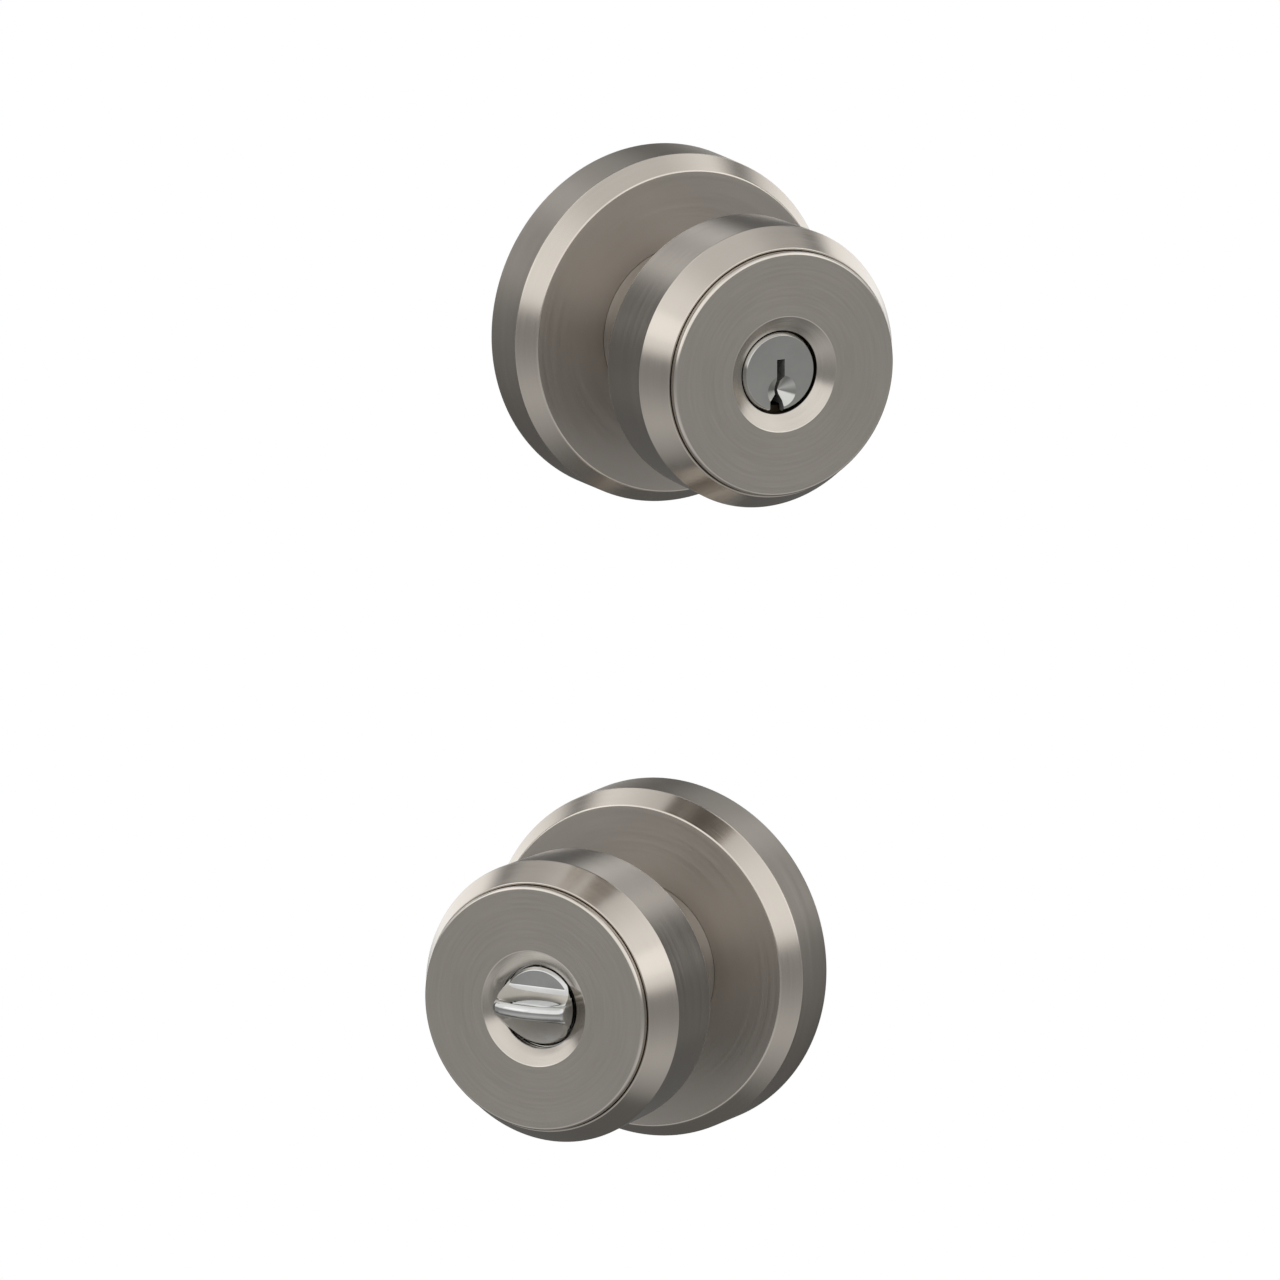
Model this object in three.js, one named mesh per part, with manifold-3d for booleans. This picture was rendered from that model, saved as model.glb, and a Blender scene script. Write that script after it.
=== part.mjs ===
// Keyed-entry knob lockset, both halves: the outside knob with its key cylinder above,
// the inside knob with its turn button below. Millimetres, +Z up.
//
// Origin: centre of the outside rose on the door's face. Each half is built in its own
// frame: x to the right, y up and z out of the door along the knob's axis, with z = 0 on
// the door's face. The two halves are then yawed and stacked.
import * as THREE from 'three';
import { mergeVertices } from 'three/addons/utils/BufferGeometryUtils.js';
import Module from 'manifold-3d';

// ---- layout of the two halves
const YAW = THREE.MathUtils.degToRad(28.457);   // outside half turns this way, inside half the other
const INSIDE_SHIFT = [4.43, 0, -122.44];        // inside half's origin from the outside half's

// ---- rose (escutcheon)
const ROSE_R = 33.4, ROSE_WALL_TOP = 9.6, ROSE_FACE = 13.45, ROSE_FACE_R = 30.8;
const ROSE_HOLE_R = 16.8, ROSE_HEM_R = 30.4, ROSE_HEM = 1.2, SHEET = 1.2;

// ---- knob
const NECK_R = 16.2, NECK_START = 12.7;
const DRUM_BACK = 33.1, DRUM_BACK_R = 26.4, RIM = 47.1, RIM_R = 27.05, LIP = 52.4, LIP_R = 24.0;
const CAP_R = 23.45, CAP_FACE = 54.1, DISH_R = 10.95, HOLE_R = 8.05, DISH_FLOOR = 51.8;

// ---- sleeve, bearing and drive
const SLEEVE_R = 8.4, SLEEVE_BORE = 7.0, RUN = 0.3;
const PLATE_Z = 1.2, PLATE_T = 1.4, PLATE_R = 29.8;
const COLLAR_R = 10.2, COLLAR_TOP = 6.0;
const CAM_Z = 9.2, CAM_T = 1.2, CAM_R = 10.4, CAM_LUG_R = 14.2;
const FIX_R = 19.05;                            // fixing centres, 38.1 mm apart
const POST_LEN = 22, SCREW_LEN = 27;
const SPINDLE_LEN = 44, SPINDLE_R = 4.8, SPINDLE_BORE = 3.4;

// ---- key cylinder
const PLUG_R = 6.4, PLUG_HEAD_R = 7.69, PLUG_FACE = 52.4, PLUG_FACE_R = 7.12;
const LEAD_IN = [0.39, -3.66], LEAD_IN_R = 3.0, LEAD_IN_DEPTH = 2.0;
const HOUSING_R = 8.9, HOUSING_TOP = 16.8, HOUSING_BACK = 27.0, HOUSING_FRONT = 50.4;
const PIN_Z = [46.6, 42.6, 38.6, 34.6, 30.6], CHAMBER_R = 1.5, PIN_R = 1.18;

// ---- turn button
const BUTTON_R = 7.65, BUTTON_FLAT = 52.55, BUTTON_TOP = 58.5;
const BLADE_HALF = 1.4, SCOOP_R = 7.2, SCOOP_Z = 58.0;   // blade's half thickness and the scoops' radius

const wasm = await Module();
wasm.setup();

const BIG = 36, MID = 20, SMALL = 12;

// ---------------------------------------------------------------- helpers
function toSolid(geometry) {
  const g = geometry.index ? geometry.toNonIndexed() : geometry.clone();
  for (const name of Object.keys(g.attributes)) if (name !== 'position') g.deleteAttribute(name);
  const m = mergeVertices(g, 1e-4);
  const p = m.attributes.position, idx = m.index.array, tri = [];
  let volume = 0;
  const a = new THREE.Vector3(), b = new THREE.Vector3(), c = new THREE.Vector3();
  for (let i = 0; i < idx.length; i += 3) {
    const [i0, i1, i2] = [idx[i], idx[i + 1], idx[i + 2]];
    if (i0 === i1 || i1 === i2 || i2 === i0) continue;
    a.fromBufferAttribute(p, i0); b.fromBufferAttribute(p, i1); c.fromBufferAttribute(p, i2);
    volume += a.dot(b.clone().cross(c));
    tri.push(i0, i1, i2);
  }
  if (volume < 0) for (let i = 0; i < tri.length; i += 3) [tri[i + 1], tri[i + 2]] = [tri[i + 2], tri[i + 1]];
  return new wasm.Manifold(new wasm.Mesh({
    numProp: 3, vertProperties: new Float32Array(p.array), triVerts: new Uint32Array(tri),
  }));
}

// Solid of revolution about z. The profile is a closed loop of [radius, z] points,
// or a line that starts and ends on the axis.
function lathe(profile, segments = BIG, about = [0, 0]) {
  const closed = profile[0][0] > 1e-6;
  const pts = profile.map(([r, z]) => new THREE.Vector2(r, z));
  if (closed) pts.push(pts[0].clone());
  const g = new THREE.LatheGeometry(pts, segments);
  g.rotateX(Math.PI / 2);
  g.translate(about[0], about[1], 0);
  return toSolid(g);
}

// Flat outline in x, y, run from z0 to z1.
function prism(outline, z0, z1) {
  const g = new THREE.ExtrudeGeometry(new THREE.Shape(outline.map(([x, y]) => new THREE.Vector2(x, y))), {
    depth: z1 - z0, bevelEnabled: false,
  });
  g.translate(0, 0, z0);
  return toSolid(g);
}

function disc(r, z0, z1, segments = MID, about = [0, 0]) {
  const g = new THREE.CylinderGeometry(r, r, z1 - z0, segments);
  g.rotateX(Math.PI / 2);
  g.translate(about[0], about[1], (z0 + z1) / 2);
  return toSolid(g);
}

function box(x0, x1, y0, y1, z0, z1) {
  const g = new THREE.BoxGeometry(x1 - x0, y1 - y0, z1 - z0);
  g.translate((x0 + x1) / 2, (y0 + y1) / 2, (z0 + z1) / 2);
  return toSolid(g);
}

// Upright pin or hole: a cylinder along y.
function upright(r, y0, y1, z, segments = SMALL) {
  const g = new THREE.CylinderGeometry(r, r, y1 - y0, segments);
  g.translate(0, (y0 + y1) / 2, z);
  return toSolid(g);
}

// Sector of a ring between two radii and two angles (degrees), from z0 to z1.
function sector(r0, r1, a0, a1, z0, z1, steps = 4) {
  const out = [];
  for (let i = 0; i <= steps; i++) {
    const t = THREE.MathUtils.degToRad(a0 + (a1 - a0) * i / steps);
    out.push([r1 * Math.cos(t), r1 * Math.sin(t)]);
  }
  for (let i = steps; i >= 0; i--) {
    const t = THREE.MathUtils.degToRad(a0 + (a1 - a0) * i / steps);
    out.push([r0 * Math.cos(t), r0 * Math.sin(t)]);
  }
  return prism(out, z0, z1);
}

// Round wire along a list of points.
function wire(points, radius, steps, sides = 6) {
  const curve = new THREE.CatmullRomCurve3(points.map((p) => new THREE.Vector3(...p)), false, 'centripetal');
  const section = new THREE.Shape();
  for (let i = 0; i < sides; i++) {
    const t = (i / sides) * Math.PI * 2;
    if (i) section.lineTo(radius * Math.cos(t), radius * Math.sin(t));
    else section.moveTo(radius * Math.cos(t), radius * Math.sin(t));
  }
  section.closePath();
  const g = new THREE.ExtrudeGeometry(section, { steps, extrudePath: curve, bevelEnabled: false });
  return toSolid(g);
}

const FINISHES = {
  nickel: { color: 0xa39b92, roughness: 0.32, metalness: 1.0 },
  chrome: { color: 0xcfd0d2, roughness: 0.08, metalness: 1.0 },
  steel: { color: 0x9b9ca0, roughness: 0.38, metalness: 1.0 },
  spring: { color: 0x7d7f84, roughness: 0.3, metalness: 1.0 },
  brass: { color: 0xb5935a, roughness: 0.35, metalness: 1.0 },
  zinc: { color: 0xb3b5b8, roughness: 0.42, metalness: 1.0 },
};

function node(group, name, solid, finish) {
  const m = solid.getMesh();
  const g = new THREE.BufferGeometry();
  g.setAttribute('position', new THREE.BufferAttribute(new Float32Array(m.vertProperties), 3));
  g.setIndex(new THREE.BufferAttribute(new Uint32Array(m.triVerts), 1));
  g.computeVertexNormals();
  const mesh = new THREE.Mesh(g, new THREE.MeshStandardMaterial(FINISHES[finish]));
  mesh.name = name;
  group.add(mesh);
}

// ---------------------------------------------------------------- pieces both halves have
function rose() {
  return lathe([
    [ROSE_HEM_R, 0], [ROSE_R, 0], [ROSE_R, ROSE_WALL_TOP], [ROSE_FACE_R, ROSE_FACE],
    [ROSE_HOLE_R, ROSE_FACE], [ROSE_HOLE_R, ROSE_FACE - SHEET],
    [ROSE_FACE_R - 0.5, ROSE_FACE - SHEET], [ROSE_R - SHEET, ROSE_WALL_TOP - 0.5],
    [ROSE_R - SHEET, ROSE_HEM], [ROSE_HEM_R, ROSE_HEM],
  ]);
}

function knobShell() {
  return lathe([
    [NECK_R - 1.2, NECK_START], [NECK_R, NECK_START], [NECK_R - 0.1, 15.5], [NECK_R - 0.3, 18.5],
    [NECK_R + 0.2, 21.6], [17.6, 24.4], [19.6, 27.0], [22.0, 29.4], [24.3, 31.4], [25.6, 32.5],
    [DRUM_BACK_R, DRUM_BACK], [26.6, 34.0], [RIM_R, RIM - 0.4], [RIM_R - 0.1, RIM],
    [LIP_R, LIP], [LIP_R - 0.25, LIP - 0.1], [LIP_R - 0.25, LIP - 1.1],
    [RIM_R - 1.15, RIM - 0.7], [25.4, 34.2], [23.3, 32.1], [18.6, 27.6], [16.4, 24.8], [15.1, 21.6], [14.7, 18.5],
  ]);
}

function knobCap() {
  return lathe([
    [CAP_R, 50.6], [CAP_R, CAP_FACE - 0.6], [CAP_R - 0.3, CAP_FACE - 0.12], [CAP_R - 0.8, CAP_FACE],
    [DISH_R, CAP_FACE], [DISH_R - 1.4, CAP_FACE - 1.45], [HOLE_R, DISH_FLOOR], [HOLE_R, 50.95],
    [HOLE_R + 0.7, 50.95], [DISH_R + 0.5, CAP_FACE - 1.1], [CAP_R - 1.0, CAP_FACE - 1.1], [CAP_R - 1.0, 50.6],
  ]);
}

function knobSleeve() {
  return lathe([
    [SLEEVE_BORE, -1.2], [SLEEVE_R, -1.2], [SLEEVE_R, -0.2], [7.7, -0.2], [7.7, 1.0], [SLEEVE_R, 1.0],
    [SLEEVE_R, 20.2], [14.2, 20.2], [14.6, 21.8], [SLEEVE_BORE, 21.8],
  ], MID);
}

function knobInsert() {
  return lathe([
    [7.6, 22.6], [14.9, 22.6], [15.8, 25.0], [16.4, 26.4], [7.6, 26.4],
  ], MID);
}

function bearingPlate(fixHole) {
  const edge = PLATE_Z + PLATE_T;
  const bore = SLEEVE_R + RUN;
  let s = lathe([
    [bore, PLATE_Z], [PLATE_R, PLATE_Z], [PLATE_R, edge], [COLLAR_R, edge], [COLLAR_R, COLLAR_TOP], [bore, COLLAR_TOP],
  ], MID);
  for (const y of [FIX_R, -FIX_R]) s = s.subtract(disc(fixHole, 0, 4, SMALL, [0, y]));
  s = s.add(sector(13.8, 15.8, 350, 359, edge - 0.4, 5.6, 2));       // stop for the spring's fixed leg
  return s;
}

function driveCam() {
  let s = lathe([[SLEEVE_R + 0.3, CAM_Z], [CAM_R, CAM_Z], [CAM_R, CAM_Z + CAM_T], [SLEEVE_R + 0.3, CAM_Z + CAM_T]], MID);
  for (const a of [90, 270]) s = s.add(sector(CAM_R - 0.8, CAM_LUG_R, a - 12, a + 12, CAM_Z, CAM_Z + CAM_T));
  return s;
}

function returnSpring() {
  const r = 12.2, turns = 2.25, z0 = 3.7, z1 = 8.0, end = 72, start = end - turns * 360, pts = [];
  const at = (rad, deg, z) => {
    const t = THREE.MathUtils.degToRad(deg);
    return [rad * Math.cos(t), rad * Math.sin(t), z];
  };
  pts.push(at(15.2, start + 1, z0), at(13.6, start + 1, z0));
  const n = 36;
  for (let i = 1; i <= n; i++) pts.push(at(r, start + (end - start) * i / n, z0 + (z1 - z0) * i / n));
  pts.push(at(r, end + 1, 9.4), at(r, end + 1, 10.8));
  return wire(pts, 0.72, 46, 5);
}

function retainingRing() {
  // open ring in the groove behind the plate
  const s = lathe([[8.0, 0.05], [10.5, 0.05], [10.5, 0.75], [8.0, 0.75]], MID);
  return s.subtract(sector(6, 12, 256, 284, -1, 2));
}

// ---------------------------------------------------------------- outside half
const outside = new THREE.Group();

node(outside, 'outside_rose', rose(), 'nickel');
node(outside, 'outside_knob_shell', knobShell(), 'nickel');
node(outside, 'outside_knob_cap', knobCap(), 'nickel');
node(outside, 'outside_chassis_plate', bearingPlate(2.5), 'steel');
node(outside, 'outside_knob_sleeve', knobSleeve(), 'steel');
node(outside, 'outside_knob_insert', knobInsert(), 'zinc');
node(outside, 'outside_drive_cam', driveCam(), 'steel');
node(outside, 'outside_return_spring', returnSpring(), 'spring');
node(outside, 'outside_retaining_ring', retainingRing(), 'spring');

// Threaded mounting posts, riveted into the chassis plate.
const POST = [
  [0, -4], [1.7, -5], [1.7, -POST_LEN], [3.2, -POST_LEN], [3.2, -2.2], [4.4, -1.4], [4.4, 0.85], [2.2, 0.85],
  [2.2, 2.95], [3.6, 2.95], [3.2, 3.9], [0, 4.2],
];
node(outside, 'mounting_post_upper', lathe(POST, SMALL, [0, FIX_R]), 'zinc');
node(outside, 'mounting_post_lower', lathe(POST, SMALL, [0, -FIX_R]), 'zinc');

// Spindle: an open half-round channel that carries the knob's turn through the door.
{
  const out = [], steps = 10, a0 = 150, a1 = 390;
  for (let i = 0; i <= steps; i++) {
    const t = THREE.MathUtils.degToRad(a0 + (a1 - a0) * i / steps);
    out.push([SPINDLE_R * Math.cos(t), SPINDLE_R * Math.sin(t)]);
  }
  for (let i = steps; i >= 0; i--) {
    const t = THREE.MathUtils.degToRad(a0 + (a1 - a0) * i / steps);
    out.push([SPINDLE_BORE * Math.cos(t), SPINDLE_BORE * Math.sin(t)]);
  }
  node(outside, 'spindle', prism(out, -SPINDLE_LEN, 4.6), 'steel');
  node(outside, 'spindle_bushing', lathe([[5.1, 0.5], [6.7, 0.5], [6.7, 6.2], [5.1, 6.2]], MID), 'zinc');
}

// Cylinder housing: the barrel round the plug with the pin chambers above it.
{
  const out = [], wide = 3.5;
  const from = Math.asin(wide / HOUSING_R);
  out.push([wide, HOUSING_TOP], [-wide, HOUSING_TOP]);
  const n = 20;
  for (let i = 0; i <= n; i++) {
    const t = Math.PI / 2 + from + (2 * Math.PI - 2 * from) * i / n;
    out.push([HOUSING_R * Math.cos(t), HOUSING_R * Math.sin(t)]);
  }
  let s = prism(out, HOUSING_BACK, HOUSING_FRONT).subtract(disc(PLUG_R + 0.32, 20, 60, MID));
  for (const z of PIN_Z) s = s.subtract(upright(CHAMBER_R, 4, 20, z));
  node(outside, 'cylinder_housing', s, 'brass');
  node(outside, 'pin_chamber_cover', box(-3.3, 3.3, HOUSING_TOP + 0.3, HOUSING_TOP + 1.1, 28.4, 49.0), 'brass');
}

// Keyway, as cut through the plug: a narrow upper slot, ribs at mid height and a wide lower slot.
const KEYWAY = [
  [-0.64, 2.5], [-0.64, -0.9], [-0.42, -1.6], [-0.42, -4.4], [-1.2, -4.9], [-2.1, -5.4], [-2.1, -8.6],
  [0.8, -8.6], [0.8, -5.6], [0.42, -4.4], [0.42, -1.7], [1.0, -0.9], [1.0, 2.5],
];
{
  let s = lathe([
    [0, 26.9], [PLUG_R, 26.9], [PLUG_R, 50.3], [PLUG_HEAD_R, 50.8], [PLUG_HEAD_R, 51.75], [PLUG_FACE_R, PLUG_FACE], [0, PLUG_FACE],
  ], MID);
  s = s.subtract(prism(KEYWAY, 28.6, 54));
  const over = 0.05;      // lead-in cone at the keyway's mouth
  const cone = lathe([
    [0, PLUG_FACE - LEAD_IN_DEPTH], [LEAD_IN_R * (1 + over / LEAD_IN_DEPTH), PLUG_FACE + over], [LEAD_IN_R, 54], [0, 54],
  ], MID, LEAD_IN);
  s = s.subtract(cone);
  for (const z of PIN_Z) s = s.subtract(upright(CHAMBER_R, 1.6, 8, z));
  node(outside, 'key_plug', s, 'chrome');
  PIN_Z.forEach((z, i) => {
    const tip = 2.5;
    const g = new THREE.LatheGeometry([[0, tip], [0.55, tip], [PIN_R, tip + 0.6], [PIN_R, 6.15], [0.8, 6.35], [0, 6.35]]
      .map(([r, y]) => new THREE.Vector2(r, y)), 10);
    g.translate(0, 0, z);
    node(outside, `key_pin_${i + 1}`, toSolid(g), 'brass');
    const d = new THREE.LatheGeometry([[0, 6.9], [PIN_R, 6.9], [PIN_R, 11.0], [0.9, 11.3], [0, 11.3]]
      .map(([r, y]) => new THREE.Vector2(r, y)), 10);
    d.translate(0, 0, z);
    node(outside, `driver_pin_${i + 1}`, toSolid(d), 'steel');
    const pts = [], n = 18, turns = 3;
    for (let k = 0; k <= n; k++) {
      const t = (k / n) * turns * 2 * Math.PI;
      pts.push([0.98 * Math.cos(t), 11.85 + (16.4 - 11.85) * k / n, z + 0.98 * Math.sin(t)]);
    }
    node(outside, `pin_spring_${i + 1}`, wire(pts, 0.2, 21, 4), 'spring');
  });
}
node(outside, 'plug_retainer', lathe([[0, 25.2], [7.0, 25.2], [7.0, 26.5], [0, 26.5]], MID), 'steel');
node(outside, 'tailpiece', box(-2.4, 2.4, -0.75, 0.75, -40, 24.9), 'steel');

// ---------------------------------------------------------------- inside half
const inside = new THREE.Group();

node(inside, 'inside_rose', rose(), 'nickel');
node(inside, 'inside_knob_shell', knobShell(), 'nickel');
node(inside, 'inside_knob_cap', knobCap(), 'nickel');
node(inside, 'inside_mounting_plate', bearingPlate(2.5), 'steel');
node(inside, 'inside_knob_sleeve', knobSleeve(), 'steel');
node(inside, 'inside_knob_insert', knobInsert(), 'zinc');
node(inside, 'inside_drive_cam', driveCam(), 'steel');
node(inside, 'inside_return_spring', returnSpring(), 'spring');
node(inside, 'inside_retaining_ring', retainingRing(), 'spring');

// Machine screws through the mounting plate, pan heads with a cross slot.
for (const [name, y] of [['screw_upper', FIX_R], ['screw_lower', -FIX_R]]) {
  let s = lathe([
    [0, -SCREW_LEN], [1.3, -SCREW_LEN], [2.0, -SCREW_LEN + 1.0], [2.0, 2.9], [3.9, 2.9], [3.9, 3.9], [3.0, 4.9], [0, 5.2],
  ], SMALL, [0, y]);
  s = s.subtract(box(-0.45, 0.45, y - 1.9, y + 1.9, 3.9, 6)).subtract(box(-1.9, 1.9, y - 0.45, y + 0.45, 3.9, 6));
  node(inside, name, s, 'zinc');
}

// Socket that takes the spindle's end: round with a flat, to key on the half-round section.
{
  let s = disc(6.7, 0.5, 16, MID).subtract(disc(5.1, -2, 20, MID));
  node(inside, 'spindle_socket', s, 'zinc');
}

// Turn button: a bevelled disc with a domed cross blade, left by two scoops, to grip.
{
  const disc0 = lathe([
    [0, 49.3], [9.4, 49.3], [9.4, 50.6], [BUTTON_R, 50.6], [BUTTON_R, BUTTON_FLAT - 0.55], [BUTTON_R - 0.55, BUTTON_FLAT], [0, BUTTON_FLAT],
  ], 32);
  const dome = lathe([
    [0, 51.5], [BUTTON_R, 51.5], [BUTTON_R, BUTTON_TOP - 2.4], [BUTTON_R - 0.3, BUTTON_TOP - 1.75], [BUTTON_R - 0.9, BUTTON_TOP - 1.25],
    [BUTTON_R - 2.2, BUTTON_TOP - 0.74], [3.0, BUTTON_TOP - 0.22], [0, BUTTON_TOP],
  ], 32);
  const side = [];
  for (let i = 0; i <= 8; i++) {
    const z = SCOOP_Z + (BUTTON_FLAT - 0.1 - SCOOP_Z) * Math.sin((i / 8) * Math.PI / 2);
    side.push([BLADE_HALF + SCOOP_R - Math.sqrt(SCOOP_R ** 2 - (SCOOP_Z - z) ** 2), z]);
  }
  const low = side[side.length - 1][1] - 0.5;
  const outline = [[BLADE_HALF, 60], ...side, [side[8][0], low], [-side[8][0], low], ...side.slice().reverse().map(([y, z]) => [-y, z]), [-BLADE_HALF, 60]];
  const g = new THREE.ExtrudeGeometry(new THREE.Shape(outline.map(([y, z]) => new THREE.Vector2(y, z))), { depth: 18, bevelEnabled: false });
  g.translate(0, 0, -9);
  // outline's x, y and depth become the half's y, z and x
  g.applyMatrix4(new THREE.Matrix4().makeBasis(new THREE.Vector3(0, 1, 0), new THREE.Vector3(0, 0, 1), new THREE.Vector3(1, 0, 0)));
  const s = disc0.add(dome.intersect(toSolid(g)));
  node(inside, 'turn_button', s, 'chrome');
}
node(inside, 'button_stem', box(-2.4, 2.4, -0.75, 0.75, -4, 48.95), 'steel');
node(inside, 'button_spring_washer', lathe([[5.2, 47.6], [5.9, 47.6], [8.7, 48.4], [8.7, 48.9], [8.2, 48.9], [5.2, 48.1]], MID), 'spring');
node(inside, 'button_seat', lathe([
  [3.2, 45.9], [12.0, 45.9], [12.0, 50.6], [10.9, 50.6], [10.9, 47.2], [3.2, 47.2],
], MID), 'zinc');

// ---------------------------------------------------------------- stack the halves
const lockset = new THREE.Group();
for (const [half, yaw, shift] of [[outside, YAW, [0, 0, 0]], [inside, -YAW, INSIDE_SHIFT]]) {
  half.rotation.x = Math.PI / 2;          // the half's axis comes out towards -Y, its y stays up
  const stand = new THREE.Group();
  stand.rotation.z = yaw;
  stand.position.set(...shift);
  stand.add(half);
  lockset.add(stand);
}

export default lockset;
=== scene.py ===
import math

import bmesh
import bpy
from mathutils import Matrix, Vector

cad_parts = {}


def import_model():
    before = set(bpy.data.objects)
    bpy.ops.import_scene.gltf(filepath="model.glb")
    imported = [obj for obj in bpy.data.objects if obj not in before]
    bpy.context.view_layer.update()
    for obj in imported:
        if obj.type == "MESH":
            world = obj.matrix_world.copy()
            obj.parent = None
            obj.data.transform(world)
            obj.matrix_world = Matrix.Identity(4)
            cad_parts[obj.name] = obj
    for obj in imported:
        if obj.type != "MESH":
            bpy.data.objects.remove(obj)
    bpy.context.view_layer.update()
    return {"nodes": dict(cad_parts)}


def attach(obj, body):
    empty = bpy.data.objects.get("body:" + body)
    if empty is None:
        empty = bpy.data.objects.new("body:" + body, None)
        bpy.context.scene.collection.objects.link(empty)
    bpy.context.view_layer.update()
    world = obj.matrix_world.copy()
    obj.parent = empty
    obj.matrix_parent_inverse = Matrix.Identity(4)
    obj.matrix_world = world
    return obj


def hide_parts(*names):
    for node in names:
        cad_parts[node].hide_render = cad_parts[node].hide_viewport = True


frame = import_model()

NODES = frame["nodes"]
MM = 0.001

# ------------------------------------------------------------------ the two halves' own frames
# In a half, x is right, y is up and z comes out of the door's face, in millimetres.
YAW = math.radians(28.457)


def half_matrix(yaw, shift):
    c, s = math.cos(yaw), math.sin(yaw)
    return Matrix(((c, 0, s, shift[0] * MM), (s, 0, -c, shift[1] * MM), (0, 1, 0, shift[2] * MM), (0, 0, 0, 1)))


OUTSIDE = half_matrix(YAW, (0, 0, 0))
INSIDE = half_matrix(-YAW, (4.43, 0, -122.44))

# ------------------------------------------------------------------ profiles
SHARP = 0.07      # a machined edge is broken by about this much


def spline(points, per=8):
    """Smooth curve through the points, as smooth profile points."""
    p = [Vector(q) for q in points]
    p = [2 * p[0] - p[1]] + p + [2 * p[-1] - p[-2]]
    out = []
    for i in range(1, len(p) - 2):
        for k in range(per):
            t = k / per
            a, b, c, d = p[i - 1], p[i], p[i + 1], p[i + 2]
            q = 0.5 * ((2 * b) + (c - a) * t + (2 * a - 5 * b + 4 * c - d) * t * t + (3 * b - a - 3 * c + d) * t ** 3)
            out.append((q.x, q.y, "s"))
    out.append((p[-2].x, p[-2].y, "s"))
    return out


def rounded(profile, closed=True, steps=5):
    """Turns (R, z, fillet radius) corners into points with exact normals: [(R, z), (nR, nz), edge]."""
    n = len(profile)
    out = []
    for i, item in enumerate(profile):
        r_f = item[2] if len(item) > 2 else SHARP
        p = Vector(item[:2])
        ends = not closed and i in (0, n - 1)
        a = Vector(profile[i - 1][:2]) if i or closed else None
        b = Vector(profile[(i + 1) % n][:2]) if i < n - 1 or closed else None
        if ends:
            d = (b - p) if a is None else (p - a)
            d.normalize()
            out.append([p, Vector((d.y, -d.x)), 0.0])
            continue
        u, v = p - a, b - p
        lu, lv = u.length, v.length
        u.normalize(), v.normalize()
        nu, nv = Vector((u.y, -u.x)), Vector((v.y, -v.x))
        if r_f == "s":
            m = nu / lu + nv / lv
            m.normalize()
            out.append([p, m, 0.0])
            continue
        phi = math.atan2(u.x * v.y - u.y * v.x, u.dot(v))
        if abs(phi) < 0.02:
            out.append([p, nu, 0.0])
            continue
        sign = 1 if phi > 0 else -1
        t = min(r_f * math.tan(abs(phi) / 2), 0.46 * lu, 0.46 * lv)
        r = t / math.tan(abs(phi) / 2)
        start = p - u * t
        centre = start - nu * (sign * r)
        k_n = max(2, min(10, int(steps * (0.6 + abs(phi)))))
        for k in range(k_n + 1):
            ang = phi * k / k_n
            c, s = math.cos(ang), math.sin(ang)
            m = Vector((nu.x * c - nu.y * s, nu.x * s + nu.y * c))
            wear = math.sin(math.pi * k / k_n) * min(1.0, abs(phi) / 0.7) if sign > 0 else 0.0
            out.append([centre + m * (sign * r), m, wear])
    return out


def mesh_object(name, verts, faces, normals=None, wear=None, matrix=OUTSIDE):
    me = bpy.data.meshes.new(name)
    me.from_pydata([Vector(v) * MM for v in verts], [], faces)
    me.validate(clean_customdata=False)
    for poly in me.polygons:
        poly.use_smooth = True
    if wear is not None:
        at = me.attributes.new("edge", "FLOAT", "POINT")
        at.data.foreach_set("value", wear)
    if normals is not None:
        me.normals_split_custom_set_from_vertices(normals)
    ob = bpy.data.objects.new(name, me)
    bpy.context.scene.collection.objects.link(ob)
    ob.matrix_world = matrix
    return ob


def lathe(name, profile, matrix, segments=192, at=(0.0, 0.0), open_ends=False, steps=5):
    """A turned piece about the half's axis, or about a line beside it."""
    closed = not open_ends
    pts = rounded(profile, closed, steps)
    verts, norms, wear, rings = [], [], [], []
    for p, m, w in pts:
        if p.x < 1e-6:
            rings.append([len(verts)])
            verts.append((at[0], at[1], p.y))
            norms.append((0, 0, 1 if m.y > 0 else -1))
            wear.append(0.0)
            continue
        ring = []
        for j in range(segments):
            a = 2 * math.pi * j / segments
            c, s = math.cos(a), math.sin(a)
            ring.append(len(verts))
            verts.append((at[0] + p.x * c, at[1] + p.x * s, p.y))
            norms.append((m.x * c, m.x * s, m.y))
            wear.append(w)
        rings.append(ring)
    faces = []
    count = len(rings) if closed else len(rings) - 1
    for i in range(count):
        a, b = rings[i], rings[(i + 1) % len(rings)]
        if len(a) == 1 and len(b) == 1:
            continue
        for j in range(segments):
            k = (j + 1) % segments
            if len(a) == 1:
                faces.append((a[0], b[k], b[j]))
            elif len(b) == 1:
                faces.append((a[j], a[k], b[0]))
            else:
                faces.append((a[j], a[k], b[k], b[j]))
    return mesh_object(name, verts, faces, norms, wear, matrix)


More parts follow.
